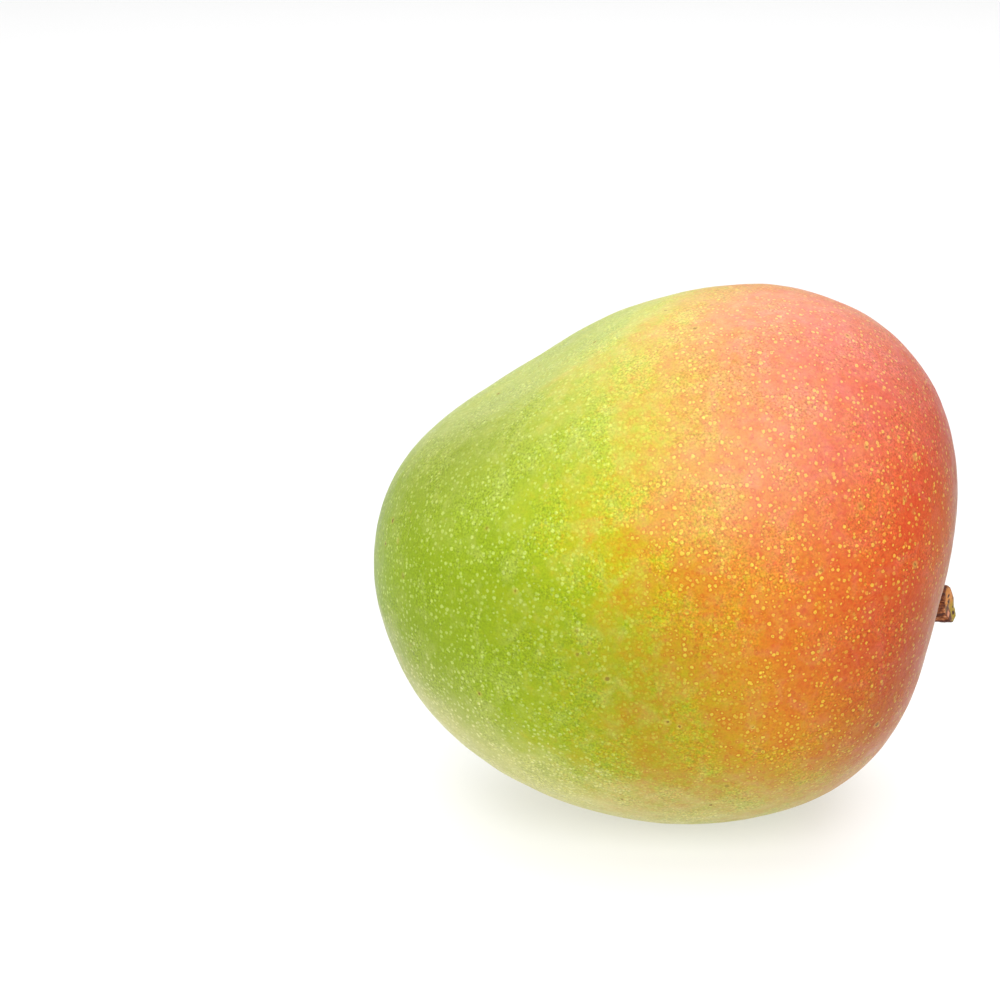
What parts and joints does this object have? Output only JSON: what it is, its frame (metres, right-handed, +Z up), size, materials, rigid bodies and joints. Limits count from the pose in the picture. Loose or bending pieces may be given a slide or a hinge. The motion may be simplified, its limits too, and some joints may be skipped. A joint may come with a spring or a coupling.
{
  "type": "mango fruit",
  "caption": "Whole ripening mango as picked, lying on its side edge, with a short cut stem stub in the hollow at its stem end.",
  "frame": {"origin": "on the surface that the mango lies on, under the middle of its bounding box", "axes": "+X towards the stem end, +Y through the fruit's thinner way, from the near cheek to the far one, +Z up"},
  "size_m": [0.1136, 0.0918, 0.1041],
  "materials": {
    "skin": "satin",
    "bark": "matte"
  },
  "bodies": {
    "root": {"fruit": "skin", "stem": "bark"}
  },
  "joints": []
}
